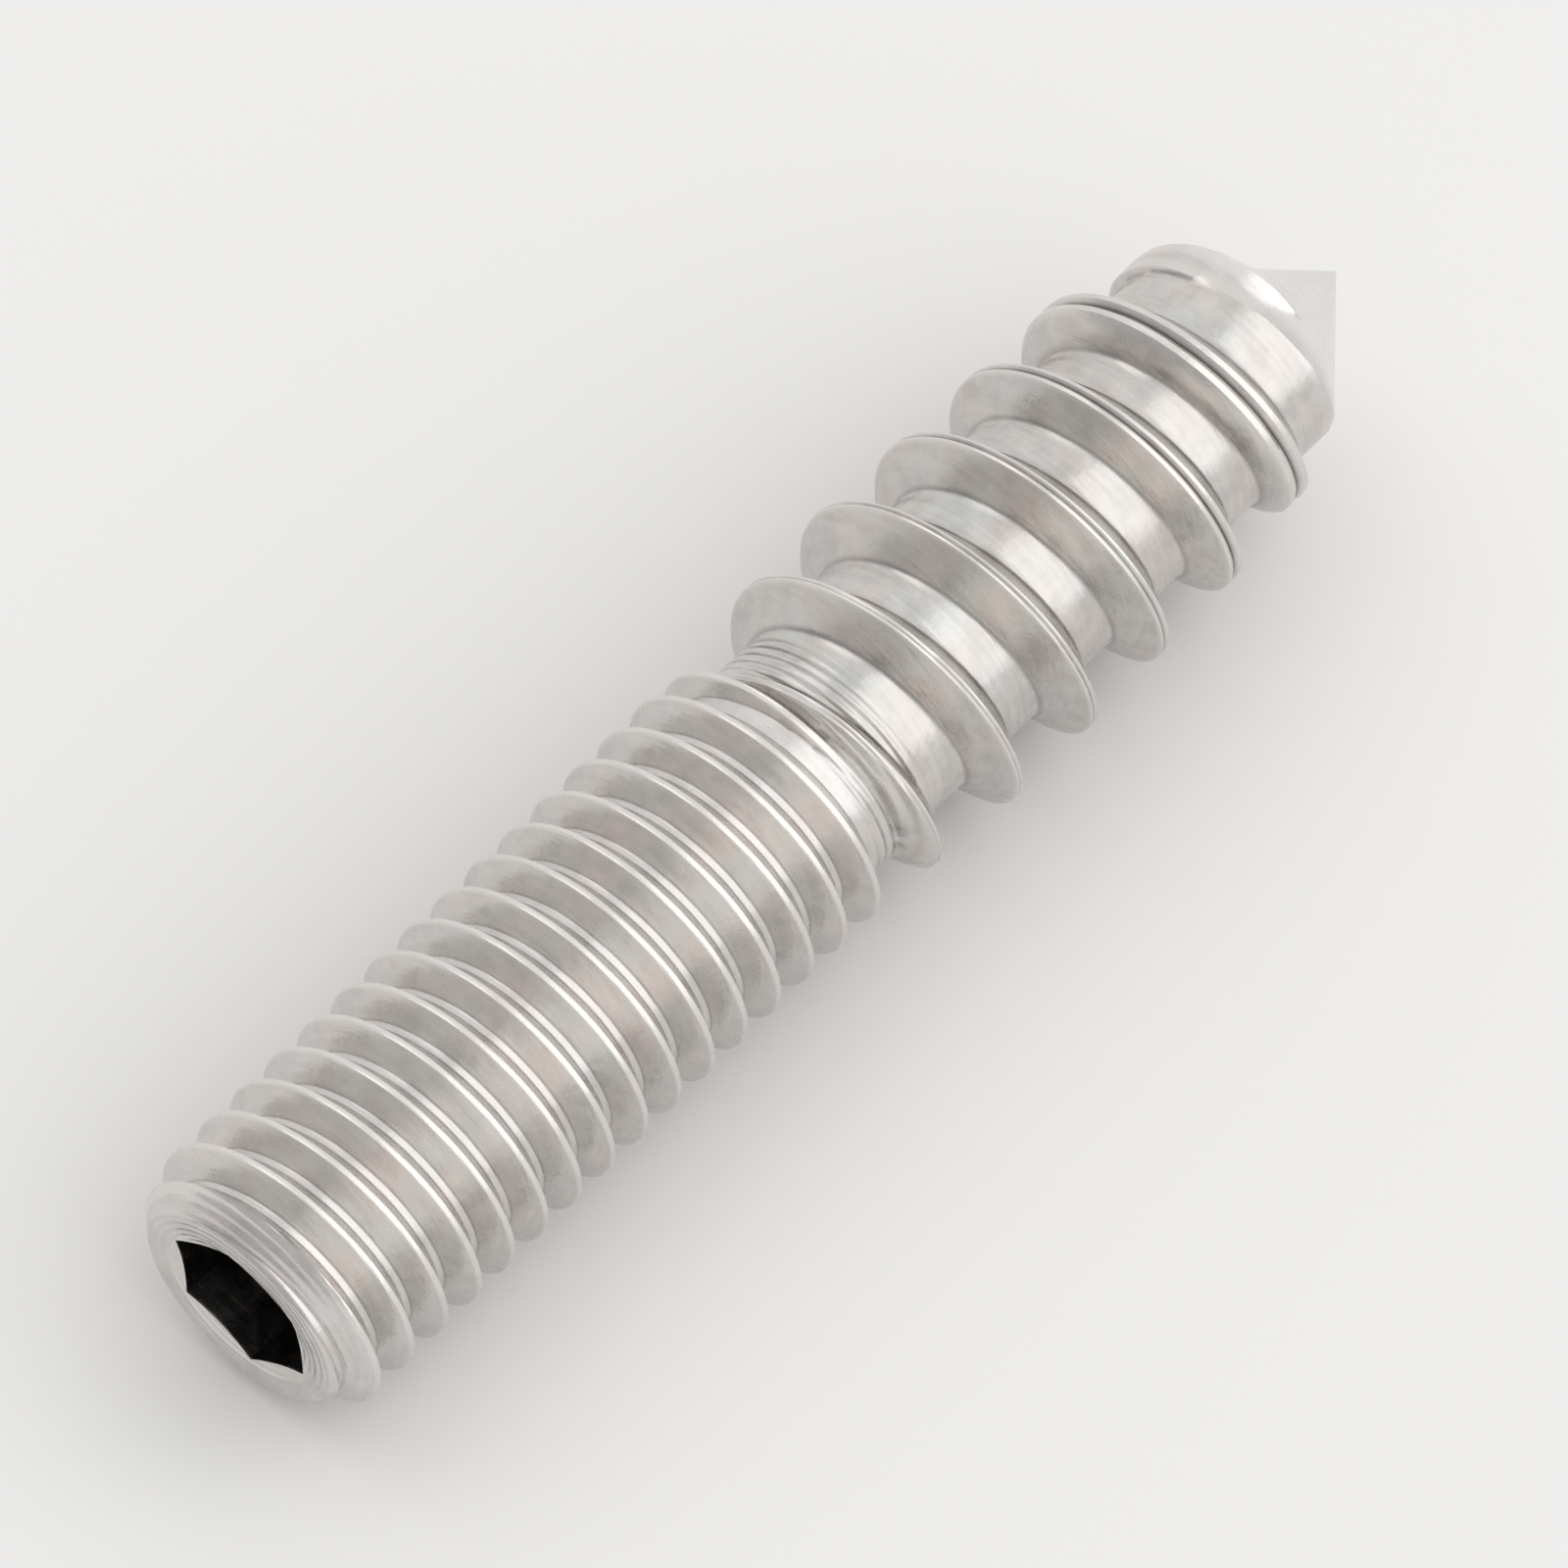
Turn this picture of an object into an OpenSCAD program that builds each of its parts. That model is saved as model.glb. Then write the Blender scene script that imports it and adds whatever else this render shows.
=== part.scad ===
// Hanger bolt: a double-ended screw, cold headed and rolled from one bar of
// stainless steel. One end has an M8 machine thread and a hexagon socket, the
// other a coarse wood thread that fades out on a cone point.
// The bolt lies along X. X = 0 is the flat end with the socket, +X points to
// the tip, +Z is up and Z = 0 is the axis. All sizes are in millimetres.

/* [Whole bolt] */
// Length from the flat end to the tip
bolt_l = 41.3; // [38:0.1:60]

/* [Machine thread] */
// Outside radius of the M8 thread
machine_r = 3.98; // [3.9:0.01:4.05]
// Pitch of the thread
machine_pitch = 1.25; // [1:0.05:1.5]
// Length from the flat end to where the last crest has run out
machine_l = 20.8; // [16:0.1:24]
// Width of the flat on the crest
machine_crest_w = 0.16; // [0.12:0.01:0.2]
// Turns in which the last crest runs out
machine_runout = 0.4; // [0.3:0.05:1]

/* [Shoulder] */
// Length of plain bar from the last crest to the shoulder
plain_l = 1.1; // [0.6:0.1:2]
// Length of the shoulder, where the bar narrows a little
shoulder_l = 0.5; // [0.3:0.1:1]

/* [Wood thread] */
// Radius of the bar under the wood thread
wood_core_r = 3.15; // [3:0.01:3.2]
// Height of the wood thread above the bar where it is highest
wood_h = 1.25; // [0.9:0.02:1.4]
// Pitch of the thread
wood_pitch = 2.8; // [2.6:0.05:3.2]
// How far before the end of the machine thread this one starts to rise
wood_overlap = 0.18; // [0:0.02:0.3]
// How far past the edge of the cone it has gone
wood_fade_l = 0.6; // [0.4:0.05:0.7]
// Width of the sharp crest on the first turns
wood_crest_w = 0.2; // [0.14:0.01:0.3]
// Width of the flattened crest on the last full turn
wood_end_crest_w = 0.6; // [0.3:0.02:0.7]

/* [Both threads] */
// Slope of each flank, from a plane across the axis
flank = 30; // [25:1:32]

/* [Point] */
// Angle between opposite sides of the cone
point_angle = 82; // [70:1:90]
// How far the tip is off the axis
point_off = 0.32; // [0:0.02:0.4]

/* [Flat end] */
// Length of the chamfer, which starts outside the root of the thread
end_chamfer = 0.8; // [0.6:0.05:0.9]
// Radius of the flat end inside the chamfer
end_r = 3.1; // [2.9:0.02:3.2]
// Width of the hexagon socket across its flats
socket_af = 4.05; // [3:0.05:4.1]
// Depth of the socket, down to where its drilled bottom begins
socket_depth = 4.5; // [2:0.1:6]
// Radius of the countersink at the mouth of the socket
mouth_r = 2.48; // [2.4:0.01:2.7]
// Angle between opposite sides of the countersink
mouth_angle = 150; // [120:2:160]
// Where round the axis a corner of the socket points, from +Y
socket_clock = 21; // [0:1:59]

/* [Hidden] */
steel = [0.76, 0.74, 0.72];
// steps in one turn of a thread, and facets round the bar
steps = 36;
// how far the foot of each thread is sunk into the bar
sink = 0.08;
// how far each cutter reaches past what it cuts
clear = 1;
// depth of an M8 thread, as a share of its pitch
thread_depth = 0.6134;
machine_core_r = machine_r - thread_depth * machine_pitch;
drill_angle = 118;

shoulder_x = machine_l + plain_l;
core_x = shoulder_x + shoulder_l;
point_l = wood_core_r / tan(point_angle / 2);
point_x = bolt_l - point_l;

// where each thread starts, and the turn from +Y to +Z at which it does:
// the machine thread begins before the flat end and is trimmed there
machine_x = -machine_pitch;
machine_clock = 270;
wood_x = machine_l - wood_overlap;
wood_clock = 20;
point_clock = 200;

// turns of each thread
machine_turns = (machine_l - machine_x) / machine_pitch;
wood_turns = (point_x + wood_fade_l - wood_x) / wood_pitch;

// height of each thread by turns, as a share of its full height
machine_rise = [[machine_turns - machine_runout, 1], [machine_turns, -0.05]];
wood_rise = [
    [0, -0.05],
    [0.25, 0.4],
    [0.5, 0.75],
    [1, 0.9],
    [2, 1],
    [wood_turns - 1.3, 0.8],
    [wood_turns - 0.3, 0.3],
    [wood_turns - 0.16, 0.4],
    [wood_turns - 0.08, 0.3],
    [wood_turns, -0.05]
];
// width of each crest by turns
machine_crest = [[0, machine_crest_w]];
wood_crest = [
    [2, wood_crest_w],
    [wood_turns - 2.3, 1.65 * wood_crest_w],
    [wood_turns - 1.3, wood_end_crest_w],
    [wood_turns - 0.3, 1.3 * wood_end_crest_w],
    [wood_turns - 0.16, 1.7 * wood_end_crest_w],
    [wood_turns, 1.5 * wood_end_crest_w]
];
// depth of the seam that rolling leaves along the wood thread's crest
wood_seam = [
    [0, 0.01],
    [2, 0.03],
    [wood_turns - 2.3, 0.06],
    [wood_turns - 1.3, 0.14],
    [wood_turns - 0.3, 0.05],
    [wood_turns, 0.01]
];

// Radius of the bar at x, without its threads. On the cone, it is the one on
// the side that the tip leans away from.
function bar_r(x) = lookup(x, [
    [shoulder_x, machine_core_r],
    [core_x, wood_core_r],
    [point_x - point_off / tan(point_angle / 2), wood_core_r],
    [bolt_l, -point_off]
]);

// Radius of the bar where a flank that leaves its crest's edge at x, radius r,
// comes down to it, found in n steps from a first guess b
function foot_r(x, r, b, n) =
    n == 0 ? b : foot_r(x, r, bar_r(x + (r - b) * tan(flank)), n - 1);

// Cross-section of a thread with a crest of width w at radius r, on a bar of
// radius b: foot, crest and foot, with the seam in the crest if there is one
function thread_section(r, b, w, seam) =
    let (foot = w / 2 + (r - b) * tan(flank), dip = is_undef(seam) ? [] : [[0, r - seam]])
        concat([[-foot, b], [-w / 2, r]], dip, [[w / 2, r], [foot, b]]);

// A right-hand thread of that section. rise, crest and seam are lists by
// turns from the start at x0.
module thread(x0, clock, pitch, turns, height, rise, crest, seam) {
    n = floor(turns * steps);
    m = is_undef(seam) ? 4 : 5;
    points = [
        for (i = [0:n])
            let (t = i / steps, a = clock + 360 * t, x = x0 + pitch * t)
            let (w = lookup(t, crest), h = height * lookup(t, rise))
            let (dip = is_undef(seam) ? undef : lookup(t, seam))
            let (r = bar_r(x) + h, b = foot_r(x + w / 2, r, bar_r(x), 8) - sink)
            for (p = thread_section(r, b, w, dip))
                [x + p[0], p[1] * cos(a), p[1] * sin(a)]
    ];
    sides = [
        for (i = [0:n - 1], j = [0:m - 1])
            let (a = i * m + j, b = i * m + (j + 1) % m)
            for (f = [[a, b, a + m], [b, b + m, a + m]]) f
    ];
    start = [for (j = [m - 1:-1:0]) j];
    end = [for (j = [0:m - 1]) n * m + j];
    polyhedron(points, concat(sides, [start, end]), convexity = 12);
}

// A round bar or cone from x on, of length l
module bar(x, r1, r2, l) {
    translate([x, 0, 0])
        rotate([0, 90, 0])
            cylinder(h = l, r1 = r1, r2 = r2, $fn = steps);
}

module blank() {
    bar(0, machine_core_r, machine_core_r, shoulder_x);
    bar(shoulder_x, machine_core_r, wood_core_r, shoulder_l);
    intersection() {
        bar(core_x, wood_core_r, wood_core_r, bolt_l - core_x);
        translate([0, point_off * cos(point_clock), point_off * sin(point_clock)])
            bar(core_x, (bolt_l - core_x) * tan(point_angle / 2), 0, bolt_l - core_x);
    }
}

// What is turned away round the flat end: all before it, and the chamfer
module end_cut() {
    clear_r = machine_r + clear;
    difference() {
        bar(2 * machine_x, clear_r, clear_r, end_chamfer - 2 * machine_x);
        bar(0, end_r, machine_r, end_chamfer);
    }
}

module socket() {
    corner_r = socket_af / sqrt(3);
    // the countersink's cutter ends inside the flats
    mouth_l = (mouth_r - socket_af / 2 + clear) / tan(mouth_angle / 2);
    rotate([socket_clock, 0, 0])
        translate([-clear, 0, 0])
            rotate([0, 90, 0])
                rotate([0, 0, 90])
                    cylinder(h = socket_depth + clear, r = corner_r, $fn = 6);
    bar(0, mouth_r, mouth_r - mouth_l * tan(mouth_angle / 2), mouth_l);
    bar(socket_depth, socket_af / 2, 0, socket_af / 2 / tan(drill_angle / 2));
}

module hanger_bolt() {
    color(steel)
    difference() {
        union() {
            blank();
            thread(machine_x, machine_clock, machine_pitch, machine_turns,
                machine_r - machine_core_r, machine_rise, machine_crest);
            thread(wood_x, wood_clock, wood_pitch, wood_turns,
                wood_h, wood_rise, wood_crest, wood_seam);
        }
        end_cut();
        socket();
    }
}

hanger_bolt();
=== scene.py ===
from math import atan2, cos, pi, radians, sin, tan

import bpy
from mathutils import Matrix, Vector


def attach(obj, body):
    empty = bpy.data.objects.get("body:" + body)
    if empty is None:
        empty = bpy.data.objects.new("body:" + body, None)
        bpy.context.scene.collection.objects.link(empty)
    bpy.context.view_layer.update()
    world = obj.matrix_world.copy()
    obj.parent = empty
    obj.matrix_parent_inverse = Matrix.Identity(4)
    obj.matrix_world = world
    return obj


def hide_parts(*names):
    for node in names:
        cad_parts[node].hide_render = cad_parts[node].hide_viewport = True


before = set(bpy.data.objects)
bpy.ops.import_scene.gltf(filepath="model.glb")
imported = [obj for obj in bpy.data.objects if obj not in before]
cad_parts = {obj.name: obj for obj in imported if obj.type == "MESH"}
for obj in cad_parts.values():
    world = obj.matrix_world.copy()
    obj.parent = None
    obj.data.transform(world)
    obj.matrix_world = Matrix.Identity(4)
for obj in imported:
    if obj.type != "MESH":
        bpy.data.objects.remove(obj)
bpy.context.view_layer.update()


# The bolt is one bar of stainless steel, cold headed and then rolled between
# dies: an M8 machine thread with a hexagon socket in its end, a short plain
# shoulder, and a coarse wood thread that fades out on a cone point.

# Sizes are in millimetres, and places along the bolt count from its flat end.
# A clock is an angle round the axis, in degrees from +Y to +Z.
MM = 0.001
bolt_l = 41.3
machine_r = 3.98
machine_pitch = 1.25
machine_l = 20.8
machine_crest_w = 0.16
machine_thread_h = 0.6134 * machine_pitch
machine_core_r = machine_r - machine_thread_h
plain_l = 1.1
shoulder_x = machine_l + plain_l
shoulder_l = 0.5
wood_core_r = 3.15
wood_h = 1.25
wood_pitch = 2.8
wood_overlap = 0.18
wood_fade_l = 0.6
flank = tan(radians(30))
point_half = radians(41)
point_x = bolt_l - wood_core_r / tan(point_half)
point_off = 0.32
point_clock = 200
end_chamfer = 0.8
end_r = 3.1
socket_af = 4.05
socket_depth = 4.5
socket_clock = 21
mouth_r = 2.48
mouth_half = radians(75)
drill_half = radians(59)

# What rolling rounds off: how far a crest's edges lie below its middle, and
# the fillets at the roots of the threads
crest_crown = 0.012
machine_fillet = 0.05
wood_fillet = 0.12

# Turns are counted from where the machine thread would begin, one pitch
# before the flat end. The wood thread begins beside its last crest.
machine_clock = 270
machine_turns = machine_l / machine_pitch + 1
wood_clock = 20
wood_x = machine_l - wood_overlap
wood_start = 17 + (wood_clock - machine_clock + 360) / 360
wood_turns = (point_x + wood_fade_l - wood_x) / wood_pitch

# The skin is one closed mesh: a ribbon that winds along both threads, a pitch
# wide and edge to edge with its next turn, so that rows of faces follow each
# crest, flank and root. It ends on the cone, and rings go on from there.
columns = 144
skin_end_x = 39.6


def between(x, table):
    """The value at x on straight lines between the table's (x, value) pairs."""
    if x <= table[0][0]:
        return table[0][1]
    for (x0, y0), (x1, y1) in zip(table, table[1:]):
        if x <= x1:
            return y0 + (y1 - y0) * (x - x0) / (x1 - x0)
    return table[-1][1]


def eased(x):
    """0 below 0 and 1 above 1, with a soft start and end."""
    x = min(max(x, 0), 1)
    return x * x * (3 - 2 * x)


def rounded_over(y, k):
    """y where it is above zero and 0 elsewhere, with a fillet of size k between."""
    return y if y > k else 0 if y < -k else (y + k) ** 2 / (4 * k)


def core_r(x):
    """Radius of the bar before the cone."""
    return machine_core_r + (wood_core_r - machine_core_r) * eased((x - shoulder_x) / shoulder_l)


def bar_r(x, angle):
    """Radius of the bar under the threads. The cone's tip is a little off the axis."""
    cone = (bolt_l - x) * tan(point_half)
    off = radians(angle - point_clock)
    across = point_off * sin(off)
    return min(core_r(x), point_off * cos(off) + max(cone * cone - across * across, 0) ** 0.5)


def least_r(x):
    """Radius of the bar on the side that the tip leans away from, at which the
    thread's crest runs on."""
    return min(core_r(x), (bolt_l - x) * tan(point_half) - point_off)


def machine_line(s):
    """Where the middle of the machine thread's crest is at turn s."""
    return machine_pitch * (s - 1)


def wood_line(s):
    return wood_x + wood_pitch * (s - wood_start)


def machine_share(s):
    """Height of the machine thread at turn s, as a share of its full height."""
    return between(s, [(machine_turns - 0.4, 1), (machine_turns, -0.05)])


def wood_share(s):
    return between(s - wood_start, [
        (-0.028, -0.1), (0.25, 0.4), (0.5, 0.75), (1, 0.9), (2, 1),
        (wood_turns - 1.3, 0.8), (wood_turns - 0.3, 0.3), (wood_turns - 0.16, 0.4),
        (wood_turns - 0.08, 0.3), (wood_turns + 0.011, -0.1)])


def wood_crest(s):
    """Width of the wood thread's crest, which the last turns' dies flatten."""
    return between(s - wood_start, [
        (2, 0.2), (wood_turns - 2.3, 0.33), (wood_turns - 1.3, 0.6), (wood_turns - 0.3, 0.78),
        (wood_turns - 0.16, 1.02), (wood_turns, 0.9)])


def wood_seam(s):
    """Depth of the seam that rolling leaves along the wood thread's crest."""
    return between(s - wood_start, [
        (0, 0.01), (2, 0.03), (wood_turns - 2.3, 0.06), (wood_turns - 1.3, 0.14),
        (wood_turns - 0.8, 0.1), (wood_turns - 0.4, 0)])


def wood_bulge(s):
    """How round the wood thread's last full turn is rolled on the socket's side."""
    return between(s - wood_start, [
        (wood_turns - 1.9, 0), (wood_turns - 1.45, 0.7), (wood_turns - 0.75, 0.7),
        (wood_turns - 0.45, 0)])


def crest_and_flank(d, w, seam, bulge=0, height=1):
    """Height of a thread's surface below the tip of its crest, at d from its middle."""
    lip = w / 4
    if d < lip:
        return -seam * (1 - d / lip)
    if d < w / 2:
        return -crest_crown * (d - lip) / (w / 2 - lip)
    drop = (d - w / 2) / flank
    return -crest_crown - drop + bulge * drop * max(1 - drop / height, 0)


def skin_at(x, s):
    """Radius of the bolt's skin at x and turn s, with both threads on the bar, and
    its painted light: 1 for a painted highlight along a crest, -1 for painted shade in a seam or
    corner."""
    bar = bar_r(x, machine_clock + 360 * s)
    r = bar
    painted_light = 0
    for q in (s - 1, s, s + 1):
        share = machine_share(q)
        if share > -0.05 and q > 0:
            mid = machine_line(q)
            top = machine_core_r + machine_thread_h * share
            y = top + crest_and_flank(abs(x - mid), machine_crest_w, 0) - bar
            r = max(r, bar + rounded_over(y, machine_fillet))
            # painted highlight along the crest, and painted shade in the corner at its foot
            if abs(x - mid) < machine_crest_w / 2 + 0.01:
                painted_light = eased(4 * share)
            elif abs(y) < 0.06:
                painted_light = -0.35 * eased(4 * share)
        share = wood_share(q)
        if share > -0.1:
            mid = wood_line(q)
            top = least_r(mid) + wood_h * share
            bulge = wood_bulge(q) if x < mid else 0
            y = top - bar + crest_and_flank(
                abs(x - mid), wood_crest(q), wood_seam(q), bulge, max(wood_h * share, 0.1))
            r = max(r, bar + rounded_over(y, wood_fillet))
            # painted highlight along the crest, painted shade in its seam and in the corner at
            # its foot
            if abs(x - mid) < wood_crest(q) / 2 + 0.01:
                painted_light = eased(4 * share)
                if abs(x - mid) < wood_crest(q) / 8:
                    painted_light = -min(wood_seam(q) / 0.08, 1)
            elif abs(y) < 0.06 and x < point_x:
                painted_light = -0.5 * eased(4 * share)
    return min(r, end_r + (machine_r - end_r) * x / end_chamfer), painted_light


def ribbon_edge(s):
    """Where the ribbon's turn s meets the turn before: midway between two crests."""
    share = eased((s - machine_turns) / 0.3 + 0.5)
    return ((1 - share) * (machine_line(s) - machine_pitch / 2)
            + share * (wood_line(s) - wood_pitch / 2))


def spread(x0, x1, count):
    """count places evenly between x0 and x1, without them."""
    return [x0 + (x1 - x0) * (k + 1) / (count + 1) for k in range(count)]


def ribbon_rows(s):
    """x of the ribbon's 21 rows at turn s, from edge to edge. Row 8 is the machine
    thread's crest, and row 12 the wood thread's."""
    start, stop = ribbon_edge(s), ribbon_edge(s + 1)
    mid = machine_line(s)
    w = machine_crest_w / 2
    foot = w + machine_thread_h * max(machine_share(s), 0.35) * flank
    steps = (w / 2, w, w + 0.035, foot - 0.11, foot - 0.05, foot, foot + 0.04)
    near = [mid - d for d in steps[::-1]]
    far = [mid + d for d in steps]
    machine_rows = near + [mid] + far + spread(far[-1], stop, 4)
    middle = wood_line(s)
    w = wood_crest(s) / 2
    foot = w + max(wood_h * wood_share(s), 0.2) * flank
    steps = (w / 2, w, w + 0.06 + 0.2 * wood_bulge(s), foot - 0.1, foot - 0.02, foot + 0.07,
             foot + 0.25)
    before = [middle - d for d in steps[::-1]]
    after = [middle + d for d in steps]
    wood_rows = spread(start, before[0], 4) + before + [middle] + after
    valley = (mid + middle + machine_thread_h * max(machine_share(s), 0) * flank
              - wood_h * max(wood_share(s), 0) * flank) / 2
    both_rows = near + [mid, far[1], valley, before[-2], middle] + after
    rows = []
    for a, b, c in zip(machine_rows, both_rows, wood_rows):
        x = a + (b - a) * eased((s - wood_start + 0.3) / 0.28)
        x += (c - x) * eased((s - machine_turns) / 0.3)
        rows.append(min(max(x, start + 0.005), stop - 0.005))
    return [start] + sorted(rows) + [stop]


def hexagon_r(angle):
    """Distance from the axis to the wall of the socket, at an angle in degrees."""
    off = (angle - socket_clock + 30) % 60 - 30
    return socket_af / 2 / cos(radians(30 - abs(off)))


skin = []
painted_lights = []
faces = []


def add_point(x, r, angle, painted_light=0):
    skin.append((x * MM, r * cos(radians(angle)) * MM, r * sin(radians(angle)) * MM))
    painted_lights.append(painted_light)
    return len(skin) - 1


def column_angle(i):
    return socket_clock + 360 * i / columns


def add_ring(x_of, r_of, painted_light=0):
    return [add_point(x_of(column_angle(i)), r_of(column_angle(i)), column_angle(i), painted_light)
            for i in range(columns)]


def add_strip(near, far):
    """Faces between two rings, with the outside on the side of a growing bolt."""
    for i in range(columns):
        n = (i + 1) % columns
        faces.append((near[i], near[n], far[n], far[i]))


first_turn = ((socket_clock - machine_clock) / 360) % 1
last_turn = wood_start + (skin_end_x + wood_pitch / 2 - wood_x) / wood_pitch
column_count = int((last_turn - first_turn) * columns) + 2
flat_rim = add_ring(lambda a: 0, lambda a: end_r)
point_rim = add_ring(lambda a: skin_end_x, lambda a: bar_r(skin_end_x, a))
grid = []
for i in range(column_count):
    s = first_turn + i / columns
    angle = column_angle(i)
    column = []
    for j, x in enumerate(ribbon_rows(s)):
        if x <= 0:
            column.append(flat_rim[i % columns])
        elif x >= skin_end_x:
            column.append(point_rim[i % columns])
        elif j == 0 and i >= columns:
            column.append(grid[i - columns][-1])
        else:
            r, painted_light = skin_at(x, s)
            column.append(add_point(x, r, angle, painted_light))
    grid.append(column)
for a, b in zip(grid, grid[1:]):
    for j in range(len(a) - 1):
        corners = []
        for v in (a[j], b[j], b[j + 1], a[j + 1]):
            if v not in corners:
                corners.append(v)
        if len(corners) > 2:
            faces.append(tuple(corners))

# The cone's last part, down to a tip that is worn a little blunt.
shank = point_rim
for x in (40.2, 40.8):
    ring = add_ring(lambda a: x, lambda a: bar_r(x, a))
    add_strip(shank, ring)
    shank = ring
tip = add_point(bolt_l - 0.01, point_off, point_clock)
# one more ring close to the tip, so that the cone is shaded evenly up to it
ring = []
for i in shank:
    skin.append(tuple(Vector(skin[i]).lerp(Vector(skin[tip]), 0.88)))
    painted_lights.append(0)
    ring.append(len(skin) - 1)
add_strip(shank, ring)
shank = ring
for i in range(columns):
    faces.append((shank[i], shank[(i + 1) % columns], tip))

# The flat end, its countersink with a painted highlight, and the socket with a
# drilled bottom, painted dark inside as shade.
inner = flat_rim
for x_of, r_of, painted_light in (
        (lambda a: 0, lambda a: mouth_r + 0.03, 0),
        (lambda a: 0.03, lambda a: mouth_r - 0.02, 1),
        (lambda a: (mouth_r - hexagon_r(a)) / tan(mouth_half), hexagon_r, 1),
        (lambda a: (mouth_r - hexagon_r(a)) / tan(mouth_half) + 0.06, hexagon_r, -1),
        (lambda a: socket_depth - 0.05, hexagon_r, -1),
        (lambda a: socket_depth, lambda a: socket_af / 2 - 0.03, -1)):
    ring = add_ring(x_of, r_of, painted_light)
    add_strip(ring, inner)
    inner = ring
drill_tip = add_point(socket_depth + socket_af / 2 / tan(drill_half), 0, 0, -1)
for i in range(columns):
    faces.append((inner[(i + 1) % columns], inner[i], drill_tip))

mesh = bpy.data.meshes.new("bolt_skin")
mesh.from_pydata(skin, [], faces)
# the painted highlights and painted shade, one value per point
mesh.attributes.new("painted_light", "FLOAT", "POINT").data.foreach_set("value", painted_lights)
mesh.shade_smooth()
mesh.set_sharp_from_angle(angle=radians(38))
bolt = bpy.data.objects.new("bolt_skin", mesh)
bpy.context.scene.collection.objects.link(bolt)
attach(bolt, "root")
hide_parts("hanger_bolt")


def linear(code):
    """An sRGB hex colour as linear red, green, blue and alpha."""
    parts = [int(code[i:i + 2], 16) / 255 for i in (1, 3, 5)]
    return tuple([c / 12.92 if c <= 0.04045 else ((c + 0.055) / 1.055) ** 2.4
                  for c in parts] + [1])


def add_node(tree, kind, settings={}, links={}):
    """A node with its settings, by input or attribute name, and the outputs that feed it."""
    n = tree.nodes.new(kind)
    for name, value in settings.items():
        if isinstance(name, int) or name in n.inputs:
            n.inputs[name].default_value = value
        else:
            setattr(n, name, value)
    for name, output in links.items():
        tree.links.new(output, n.inputs[name])
    return n


# Stainless steel as the dies leave it: bright, a little warm, with fine marks
# that run round the bar and a soft unevenness that breaks up its highlights.
steel = bpy.data.materials.new("stainless_steel_as_rolled")
steel.use_nodes = True
tree = steel.node_tree
tree.nodes.clear()
place = add_node(tree, "ShaderNodeTexCoord")
# die marks, about 0.2 mm apart along the bolt and some millimetres long
marks_at = add_node(tree, "ShaderNodeMapping", {"Scale": (6000, 300, 300)},
                    {"Vector": place.outputs["Object"]})
marks = add_node(tree, "ShaderNodeTexNoise", {"Scale": 1, "Detail": 4, "Roughness": 0.65},
                 {"Vector": marks_at.outputs["Vector"]})
# unevenness, about 0.7 mm across
waves = add_node(tree, "ShaderNodeTexNoise", {"Scale": 1400, "Detail": 4, "Roughness": 0.55},
                 {"Vector": place.outputs["Object"]})
# patches that lean a little to warm or to grey, about 1.5 mm across
patches = add_node(tree, "ShaderNodeTexNoise", {"Scale": 650, "Detail": 2},
                   {"Vector": place.outputs["Object"]})
# faint turns that the machine dies leave on the shoulder, 0.3 mm apart
axes = add_node(tree, "ShaderNodeSeparateXYZ", {}, {"Vector": place.outputs["Object"]})
around = add_node(tree, "ShaderNodeMath", {"operation": "ARCTAN2"},
                  {0: axes.outputs["Z"], 1: axes.outputs["Y"]})
around = add_node(tree, "ShaderNodeMath", {"operation": "MULTIPLY", 1: 4},
                  {0: around.outputs["Value"]})
along = add_node(tree, "ShaderNodeMath", {"operation": "MULTIPLY_ADD", 1: 2 * pi / (0.3 * MM)},
                 {0: axes.outputs["X"]})
turns = add_node(tree, "ShaderNodeMath", {"operation": "SUBTRACT"},
                 {0: along.outputs["Value"], 1: around.outputs["Value"]})
turns = add_node(tree, "ShaderNodeMath", {"operation": "SINE"}, {0: turns.outputs["Value"]})
rise = add_node(tree, "ShaderNodeMapRange",
                {"From Min": (machine_l - 0.5) * MM, "From Max": (machine_l - 0.2) * MM},
                {"Value": axes.outputs["X"]})
fall = add_node(tree, "ShaderNodeMapRange",
                {"From Min": (shoulder_x + 0.8) * MM, "From Max": (shoulder_x + 0.3) * MM},
                {"Value": axes.outputs["X"]})
band = add_node(tree, "ShaderNodeMath", {"operation": "MULTIPLY"},
                {0: rise.outputs["Result"], 1: fall.outputs["Result"]})
turns = add_node(tree, "ShaderNodeMath", {"operation": "MULTIPLY"},
                 {0: turns.outputs["Value"], 1: band.outputs["Value"]})
both = add_node(tree, "ShaderNodeMath", {"operation": "MULTIPLY_ADD", 1: 0.8},
                {0: marks.outputs["Fac"], 2: waves.outputs["Fac"]})
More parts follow.
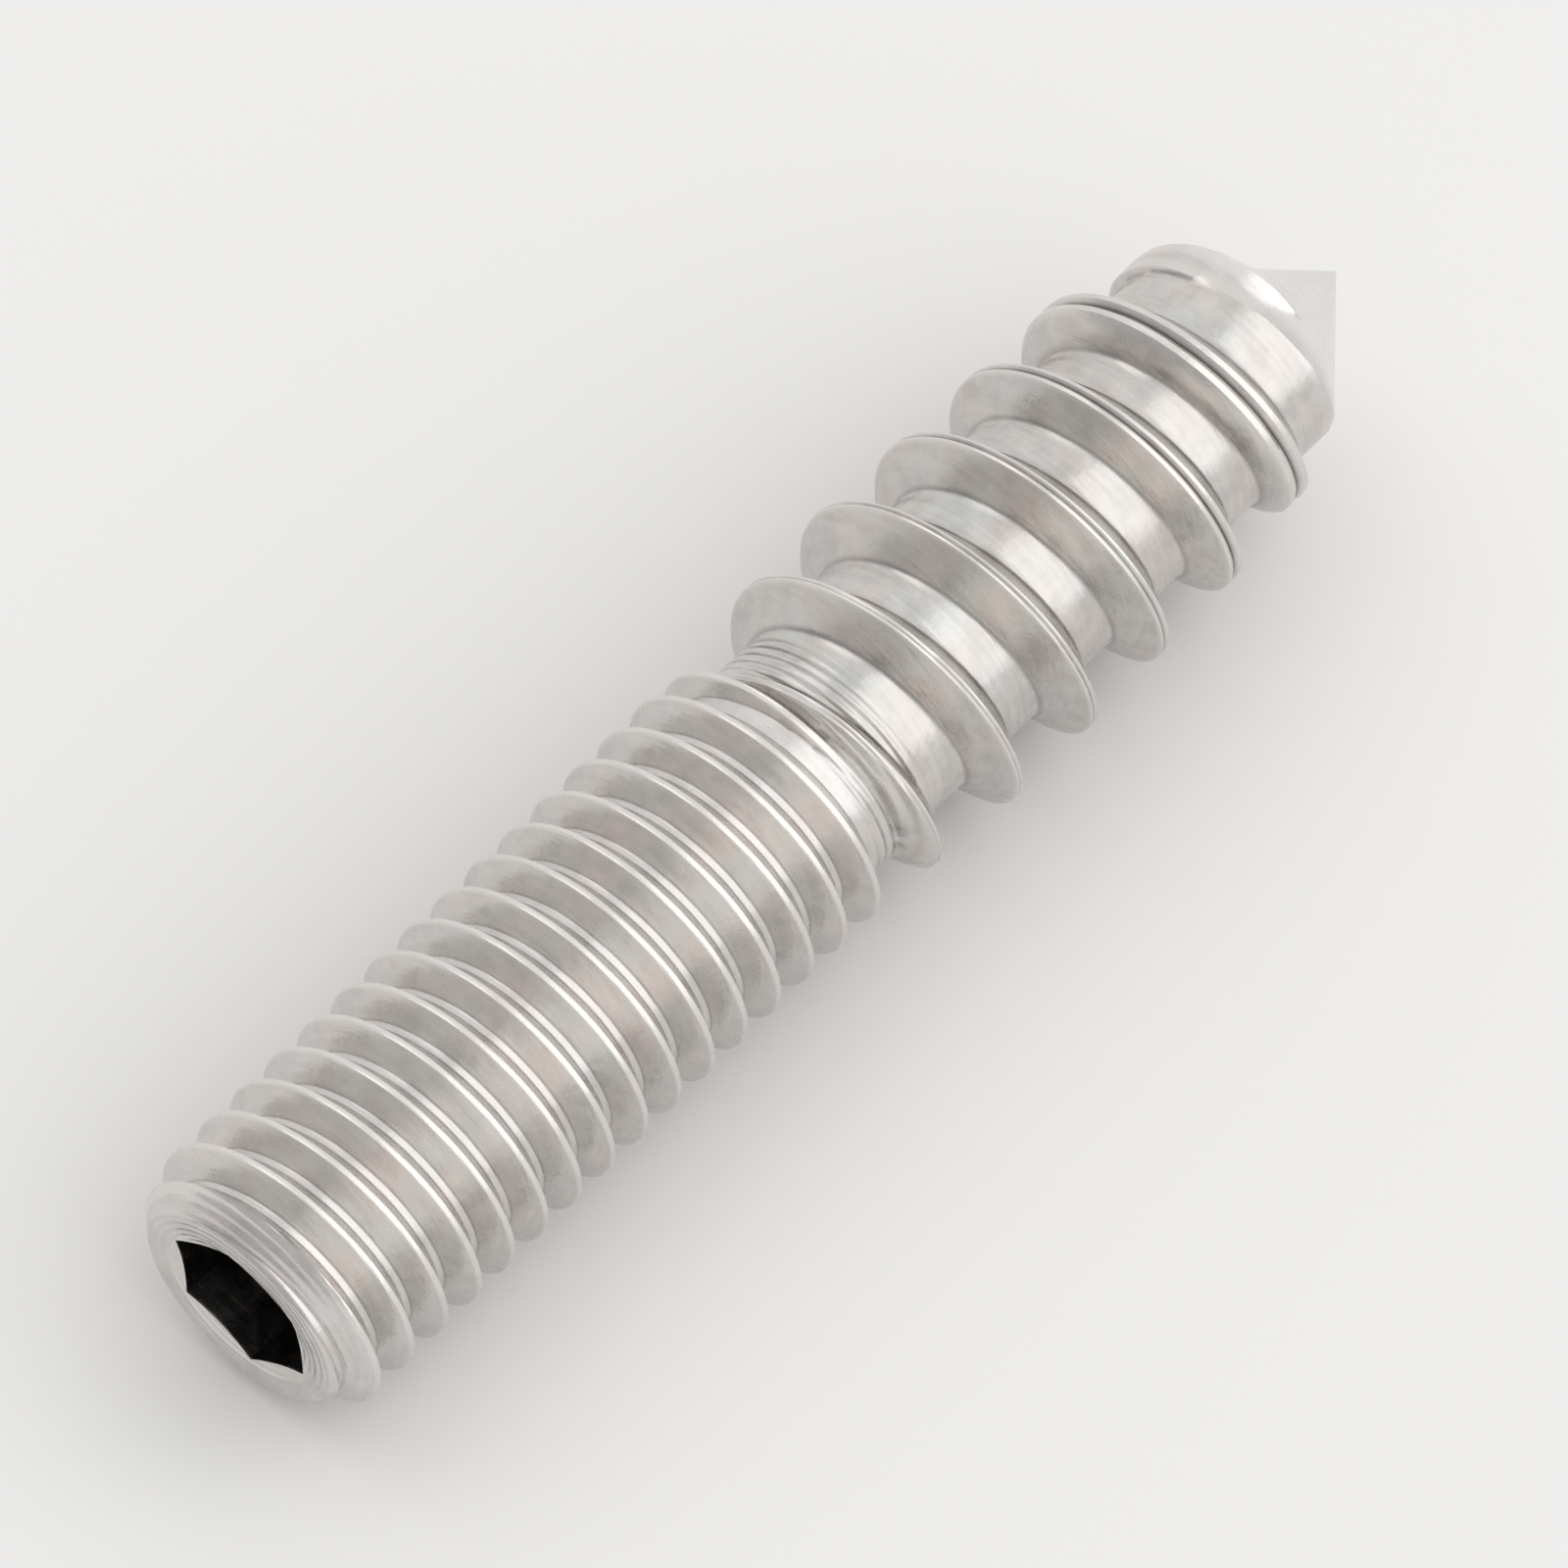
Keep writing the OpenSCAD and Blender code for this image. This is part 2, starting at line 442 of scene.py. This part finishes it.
# rings of the turning tool on the flat end and its chamfer, 0.22 mm apart
disc = add_node(tree, "ShaderNodeVectorMath", {"operation": "MULTIPLY", 1: (0, 1, 1)},
                {0: place.outputs["Object"]})
disc = add_node(tree, "ShaderNodeVectorMath", {"operation": "LENGTH"},
                {0: disc.outputs["Vector"]})
rings = add_node(tree, "ShaderNodeMath", {"operation": "MULTIPLY", 1: 2 * pi / (0.22 * MM)},
                 {0: disc.outputs["Value"]})
rings = add_node(tree, "ShaderNodeMath", {"operation": "SINE"}, {0: rings.outputs["Value"]})
end = add_node(tree, "ShaderNodeMapRange",
               {"From Min": end_chamfer * MM, "From Max": (end_chamfer - 0.2) * MM},
               {"Value": axes.outputs["X"]})
rings = add_node(tree, "ShaderNodeMath", {"operation": "MULTIPLY"},
                 {0: rings.outputs["Value"], 1: end.outputs["Result"]})
height = add_node(tree, "ShaderNodeMath", {"operation": "MULTIPLY_ADD", 1: 0.4},
                  {0: rings.outputs["Value"], 2: both.outputs["Value"]})
height = add_node(tree, "ShaderNodeMath", {"operation": "ADD"},
                  {0: turns.outputs["Value"], 1: height.outputs["Value"]})
relief = add_node(tree, "ShaderNodeBump", {"Strength": 0.5, "Distance": 0.04 * MM},
                  {"Height": height.outputs["Value"]})
gloss = add_node(tree, "ShaderNodeMapRange",
                 {"From Min": 0.3, "From Max": 0.7, "To Min": 0.2, "To Max": 0.34},
                 {"Value": waves.outputs["Fac"]})
lean = add_node(tree, "ShaderNodeMapRange", {"From Min": 0.4, "From Max": 0.6},
                {"Value": patches.outputs["Fac"]})
tint = add_node(tree, "ShaderNodeMix",
                {"data_type": "RGBA", 6: linear("#D7D0CC"), 7: linear("#D3D2CE")},
                {"Factor": lean.outputs["Result"]})
# the marks and the unevenness darken it in places by up to a sixth
shade = add_node(tree, "ShaderNodeMapRange",
                 {"From Min": 0.7, "From Max": 1.05, "To Min": 0.17, "To Max": 0},
                 {"Value": both.outputs["Value"]})
tint = add_node(tree, "ShaderNodeMix", {"data_type": "RGBA", 7: linear("#000000")},
                {"Factor": shade.outputs["Result"], 6: tint.outputs[2]})
# the machine thread is a little lighter than the rest
machine_lighter = add_node(tree, "ShaderNodeMapRange",
                 {"From Min": (machine_l + 0.7) * MM, "From Max": (machine_l - 0.3) * MM,
                  "To Max": 0.2},
                 {"Value": axes.outputs["X"]})
tint = add_node(tree, "ShaderNodeMix", {"data_type": "RGBA", 7: linear("#F0EEEC")},
                {"Factor": machine_lighter.outputs["Result"], 6: tint.outputs[2]})
# the cone is lighter and greyer than the threads
cone_lighter = add_node(tree, "ShaderNodeMapRange",
               {"From Min": (bolt_l - 3.7) * MM, "From Max": (bolt_l - 2.9) * MM,
                "To Max": 0.65},
               {"Value": axes.outputs["X"]})
tint = add_node(tree, "ShaderNodeMix", {"data_type": "RGBA", 7: linear("#F6F5F4")},
                {"Factor": cone_lighter.outputs["Result"], 6: tint.outputs[2]})
# crests get a painted highlight, and seams and corners get painted shade
painted_light = add_node(tree, "ShaderNodeAttribute", {"attribute_name": "painted_light"})
painted_highlight = add_node(tree, "ShaderNodeMapRange", {"From Min": 0, "From Max": 1, "To Max": 0.6},
                  {"Value": painted_light.outputs["Fac"]})
tint = add_node(tree, "ShaderNodeMix", {"data_type": "RGBA", 7: linear("#E6E2DE")},
                {"Factor": painted_highlight.outputs["Result"], 6: tint.outputs[2]})
painted_shade = add_node(tree, "ShaderNodeMapRange", {"From Min": 0, "From Max": -1, "To Max": 0.8},
                {"Value": painted_light.outputs["Fac"]})
tint = add_node(tree, "ShaderNodeMix", {"data_type": "RGBA", 7: linear("#4A4542")},
                {"Factor": painted_shade.outputs["Result"], 6: tint.outputs[2]})
metal = add_node(tree, "ShaderNodeBsdfPrincipled", {"Metallic": 1.0},
                 {"Base Color": tint.outputs[2], "Roughness": gloss.outputs["Result"],
                  "Normal": relief.outputs["Normal"]})
add_node(tree, "ShaderNodeOutputMaterial", {}, {"Surface": metal.outputs["BSDF"]})
mesh.materials.append(steel)


# A plain pale table. It is tilted by the angle at which the bolt lies: on a
# crest of the thicker wood thread and on the first crest of the machine thread.
rest_near = (machine_pitch, -machine_r)
rest_far = (25.36, -4.37)
tilt = atan2(rest_near[1] - rest_far[1], rest_far[0] - rest_near[0])
floor_mesh = bpy.data.meshes.new("table_top")
half_floor = 6
floor_mesh.from_pydata([(-half_floor, -half_floor, 0), (half_floor, -half_floor, 0),
                        (half_floor, half_floor, 0), (-half_floor, half_floor, 0)],
                       [], [(0, 1, 2, 3)])
table_top = bpy.data.objects.new("table_top", floor_mesh)
table_top.matrix_world = (Matrix.Translation((rest_near[0] * MM, 0, rest_near[1] * MM))
                          @ Matrix.Rotation(tilt, 4, "Y"))
bpy.context.scene.collection.objects.link(table_top)
paper = bpy.data.materials.new("pale_paper")
paper.use_nodes = True
coat = paper.node_tree.nodes["Principled BSDF"]
coat.inputs["Base Color"].default_value = linear("#F0EFEE")
coat.inputs["Roughness"].default_value = 0.9
coat.inputs["Specular IOR Level"].default_value = 0.1
floor_mesh.materials.append(paper)


# Soft studio light: a pale room, a broad softbox on the near side, which draws
# the bright band along the bolt, and a small lamp overhead.
world = bpy.data.worlds.new("pale_room")
bpy.context.scene.world = world
world.use_nodes = True
tree = world.node_tree
tree.nodes.clear()
# darker towards the socket's side, which the flanks of the threads mirror
way = add_node(tree, "ShaderNodeTexCoord")
aside = add_node(tree, "ShaderNodeVectorMath", {"operation": "DOT_PRODUCT", 1: (-1, 0.3, 0)},
                 {0: way.outputs["Generated"]})
strength = add_node(tree, "ShaderNodeMapRange",
                    {"From Min": 0, "From Max": 0.9, "To Min": 0.92, "To Max": 0.5},
                    {"Value": aside.outputs["Value"]})
room = add_node(tree, "ShaderNodeBackground", {"Color": (1, 1, 1, 1)},
                {"Strength": strength.outputs["Result"]})
add_node(tree, "ShaderNodeOutputWorld", {}, {"Surface": room.outputs["Background"]})

bolt_mid = Vector((0.0205, 0, 0))


def add_lamp(name, spot, size, size_y, watts):
    light = bpy.data.lights.new(name, "AREA")
    light.shape = "RECTANGLE"
    light.size = size
    light.size_y = size_y
    light.energy = watts
    lamp = bpy.data.objects.new(name, light)
    lamp.location = spot
    lamp.rotation_euler = (bolt_mid - Vector(spot)).to_track_quat("-Z", "Y").to_euler()
    bpy.context.scene.collection.objects.link(lamp)


add_lamp("near_softbox", (0.36, -0.62, 0.62), 1.0, 1.5, 2.7)
add_lamp("overhead_lamp", (-0.1, 0.5, 0.8), 0.6, 0.6, 0.6)


# The camera looks down on the bolt from the socket's side, as the photograph
# does, with the bolt rising to the upper right.
view = bpy.data.cameras.new("view")
view.lens = 735
view.sensor_width = 36
camera = bpy.data.objects.new("view", view)
stand = Vector((-0.27738, -0.26125, 0.71175))
photo_up = Vector((0.6452, 0.5901, 0.4853))
back = (stand - bolt_mid).normalized()
right = photo_up.cross(back).normalized()
up = back.cross(right)
turn = Matrix((right, up, back)).transposed().to_4x4()
camera.matrix_world = Matrix.Translation(stand) @ turn
bpy.context.scene.collection.objects.link(camera)
bpy.context.scene.camera = camera
bpy.context.scene.view_settings.view_transform = "Standard"
